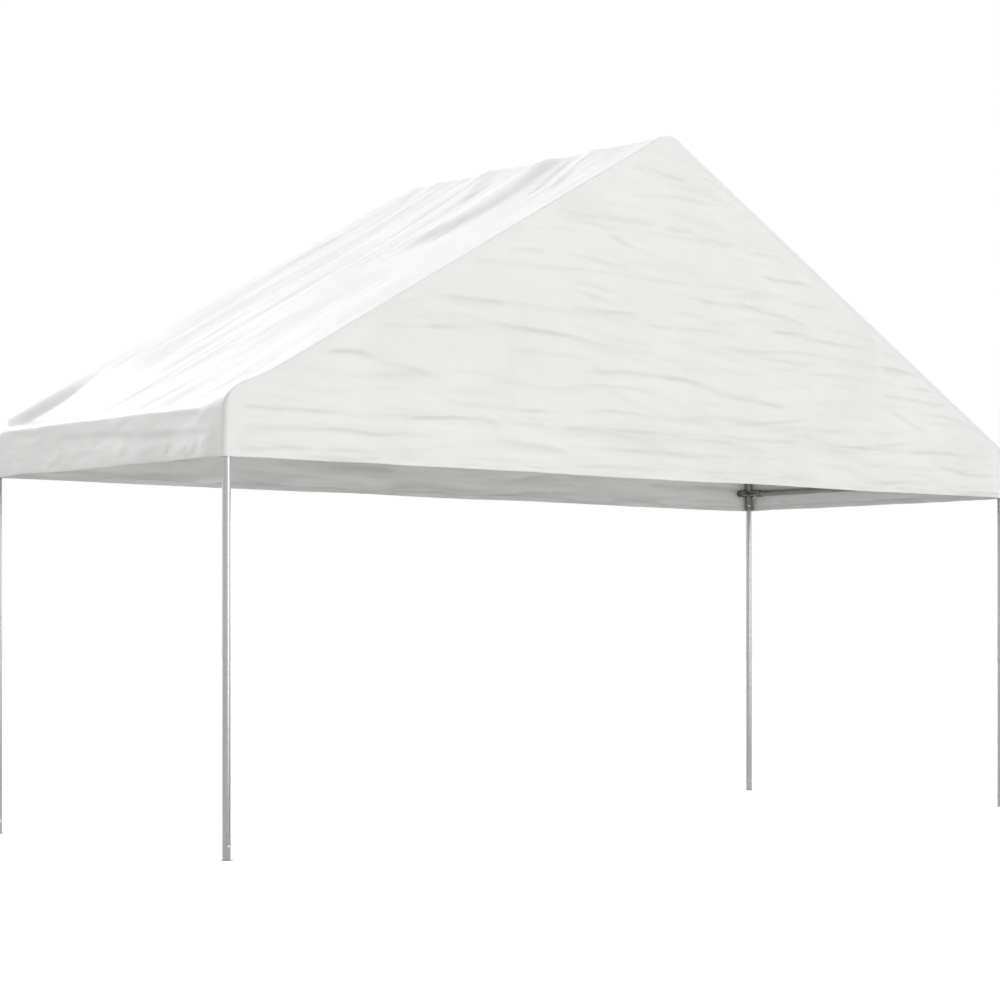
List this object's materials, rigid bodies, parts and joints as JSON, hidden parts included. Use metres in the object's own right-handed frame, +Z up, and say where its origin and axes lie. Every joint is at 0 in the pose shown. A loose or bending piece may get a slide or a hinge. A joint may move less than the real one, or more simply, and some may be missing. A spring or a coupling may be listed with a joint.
{
  "type": "party tent",
  "caption": "Open-sided party tent: white pitched canopy with short valances over a tube frame on posts with foot plates.",
  "frame": {"origin": "on the ground at the middle of the tent", "axes": "+X across the gables from left to right seen from the front, -Y towards the front gable, +Z up"},
  "size_m": [5.954, 2.304, 3.8784],
  "materials": {
    "galvanised_tube": "bright galvanised steel, lightly brushed, with sharp highlights along the tube",
    "black_plastic": "moulded black plastic",
    "white_sheeting": "coated woven white sheeting with a soft sheen and fine creases"
  },
  "bodies": {
    "root": {"canopy_gable_back": "white_sheeting", "canopy_gable_front": "white_sheeting", "canopy_shoulder_left": "white_sheeting", "canopy_shoulder_right": "white_sheeting", "canopy_slope_left": "white_sheeting", "canopy_slope_right": "white_sheeting", "canopy_valance_left": "white_sheeting", "canopy_valance_right": "white_sheeting", "eave_connector_back_left": "galvanised_tube", "eave_connector_back_right": "galvanised_tube", "eave_connector_front_left": "galvanised_tube", "eave_connector_front_right": "galvanised_tube", "eave_purlin_left": "galvanised_tube", "eave_purlin_right": "galvanised_tube", "end_plug_back_left": "black_plastic", "end_plug_back_right": "black_plastic", "end_plug_front_left": "black_plastic", "end_plug_front_right": "black_plastic", "foot_plate_back_left": "galvanised_tube", "foot_plate_back_right": "galvanised_tube", "foot_plate_front_left": "galvanised_tube", "foot_plate_front_right": "galvanised_tube", "lower_rafter_back_left": "galvanised_tube", "lower_rafter_back_right": "galvanised_tube", "lower_rafter_front_left": "galvanised_tube", "lower_rafter_front_right": "galvanised_tube", "post_back_left": "galvanised_tube", "post_back_right": "galvanised_tube", "post_front_left": "galvanised_tube", "post_front_right": "galvanised_tube", "ridge_connector_back": "galvanised_tube", "ridge_connector_front": "galvanised_tube", "ridge_purlin": "galvanised_tube", "upper_rafter_back_left": "galvanised_tube", "upper_rafter_back_right": "galvanised_tube", "upper_rafter_front_left": "galvanised_tube", "upper_rafter_front_right": "galvanised_tube"}
  },
  "joints": []
}
